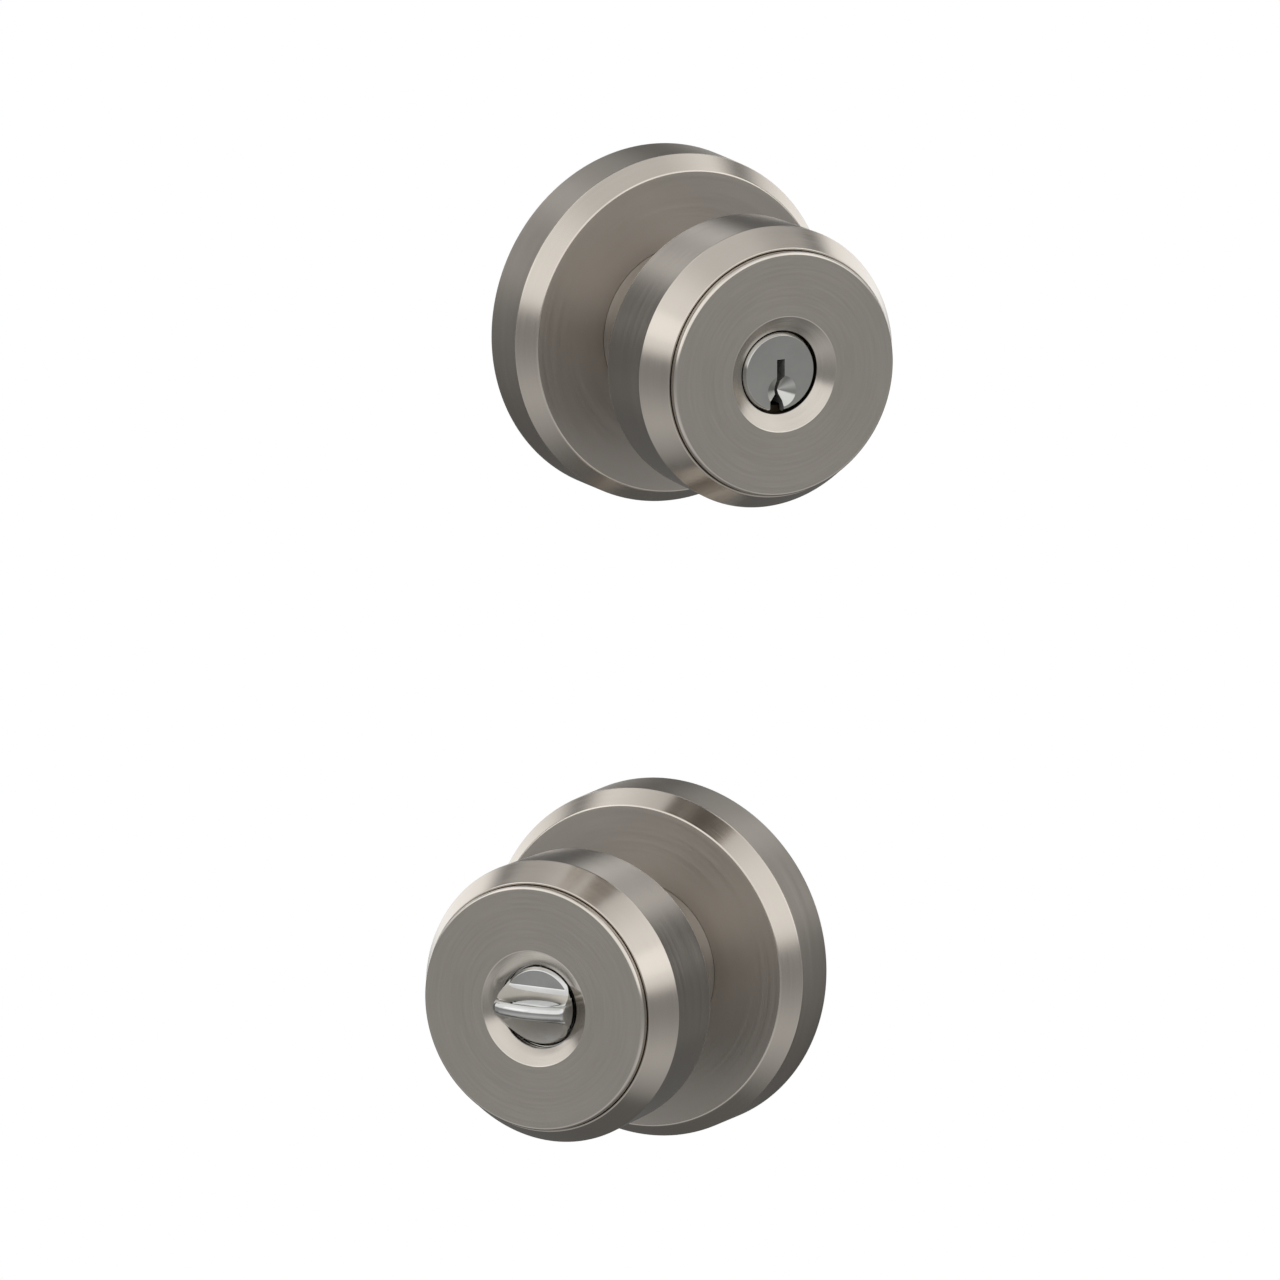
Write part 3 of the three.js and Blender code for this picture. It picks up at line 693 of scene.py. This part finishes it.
# ------------------------------------------------------------------ carried-over CAD nodes get their finish; the cylinder housing's near-black brass is painted shade
FINISH_AND_SHADE = {
    # the cylinder housing takes the near-black brass, painted shade seen through the keyway
    "cylinder_housing": BRASS_PAINTED_SHADE, "pin_chamber_cover": BRASS, "button_spring_washer": SPRING,
    "outside_return_spring": SPRING, "inside_return_spring": SPRING,
}
for i in range(1, 6):
    FINISH_AND_SHADE[f"key_pin_{i}"] = BRASS
    FINISH_AND_SHADE[f"driver_pin_{i}"] = STEEL
    FINISH_AND_SHADE[f"pin_spring_{i}"] = SPRING
for name, ob in NODES.items():
    if ob.hide_render:
        continue
    mat = FINISH_AND_SHADE.get(name, STEEL)
    ob.data.materials.clear()
    ob.data.materials.append(mat)

# ------------------------------------------------------------------ floor
bm = bmesh.new()
side_n = 24
for i in range(side_n + 1):
    for j in range(side_n + 1):
        bm.verts.new((-6 + 12 * i / side_n, -6 + 12 * j / side_n, -0.30))
bm.verts.ensure_lookup_table()
for i in range(side_n):
    for j in range(side_n):
        a = i * (side_n + 1) + j
        bm.faces.new([bm.verts[k] for k in (a, a + side_n + 1, a + side_n + 2, a + 1)])
me = bpy.data.meshes.new("floor")
bm.to_mesh(me)
bm.free()
floor_ob = bpy.data.objects.new("floor", me)
bpy.context.scene.collection.objects.link(floor_ob)
mat = bpy.data.materials.new("floor_white")
mat.use_nodes = True
t = mat.node_tree
t.nodes.clear()
out = t.nodes.new("ShaderNodeOutputMaterial")
em = t.nodes.new("ShaderNodeEmission")
em.inputs["Color"].default_value = (1, 1, 1, 1)
em.inputs["Strength"].default_value = 1.0
t.links.new(em.outputs[0], out.inputs[0])
me.materials.append(mat)
floor_ob.visible_glossy = False
floor_ob.visible_diffuse = False
floor_ob.visible_shadow = False
floor_ob.visible_transmission = False

# ------------------------------------------------------------------ studio light
# Softboxes, as (azimuth from, to, elevation from, to, edge softness, strength), mirrored left and right;
# azimuth 0 is the camera's side.
BASE = 0.32
BOXES = [
    (111, 400, -200, 80, 16, 0.13),    # dark room behind
    (-400, 101, -52, -24, 40, 0.58),   # low fill in front
    (100, 400, -200, -46, 12, 0.13),   # dark floor behind
    (-400, 115, 6.4, 80, 11.5, 1.10),  # large front box
    (139, 171, -16, 26, 16, 1.25),     # rim box behind
    (119, 145, 37, 72, 16, 1.25),      # upper rim box
    (-400, 400, 57, 200, 34, 0.79),    # overhead
    (-400, 400, -200, -68, 26, 0.15),
    (57, 83, 16, 32, 3, 1.38),         # side box
]


def world():
    w = bpy.data.worlds.new("studio")
    bpy.context.scene.world = w
    w.use_nodes = True
    t = w.node_tree
    t.nodes.clear()
    out = t.nodes.new("ShaderNodeOutputWorld")
    direction = t.nodes.new("ShaderNodeTexCoord").outputs["Generated"]
    x, y, z = split(t, direction)
    az = x.op("ABSOLUTE").op("ARCTAN2", y * -1.0) * (180 / math.pi)
    el = z.op("ARCSINE") * (180 / math.pi)
    value = None
    for a0, a1, e0, e1, soft, level in BOXES:
        h = soft / 2
        m = None
        for ang, lo, hi in ((az, a0, a1), (el, e0, e1)):
            if lo > -300:
                k = ang.ramp(lo - h, lo + h)
                m = k if m is None else m * k
            if hi < 199:
                k = ang.ramp(hi - h, hi + h, 1.0, 0.0)
                m = k if m is None else m * k
        value = (m * (level - BASE) + BASE) if value is None else value + m * ((value * -1.0) + level)
    bg = t.nodes.new("ShaderNodeBackground")
    t.links.new(blend_colour(t, value * 0.0 + 1.0, (1, 1, 1), (1, 0.995, 0.985)), bg.inputs["Color"])
    t.links.new(value.s, bg.inputs["Strength"])
    white = t.nodes.new("ShaderNodeBackground")
    white.inputs["Color"].default_value = (1, 1, 1, 1)
    path = t.nodes.new("ShaderNodeLightPath")
    mix = t.nodes.new("ShaderNodeMixShader")
    t.links.new(path.outputs["Is Camera Ray"], mix.inputs[0])
    t.links.new(bg.outputs[0], mix.inputs[1])
    t.links.new(white.outputs[0], mix.inputs[2])
    t.links.new(mix.outputs[0], out.inputs[0])


world()

# ------------------------------------------------------------------ camera
scene = bpy.context.scene
scene.view_settings.view_transform = "Standard"
scene.view_settings.look = "None"
EL = math.radians(13.136)
TARGET = Vector((-0.001357, 0.0, -0.062355))
BACK = Vector((0, -math.cos(EL), math.sin(EL)))
cam_data = bpy.data.cameras.new("camera")
cam_data.type = "ORTHO"
cam_data.ortho_scale = 0.240556
cam_data.clip_start = 0.01
cam_data.clip_end = 30.0
camera = bpy.data.objects.new("camera", cam_data)
scene.collection.objects.link(camera)
camera.location = TARGET + BACK
camera.rotation_euler = (-BACK).to_track_quat("-Z", "Y").to_euler()
scene.camera = camera
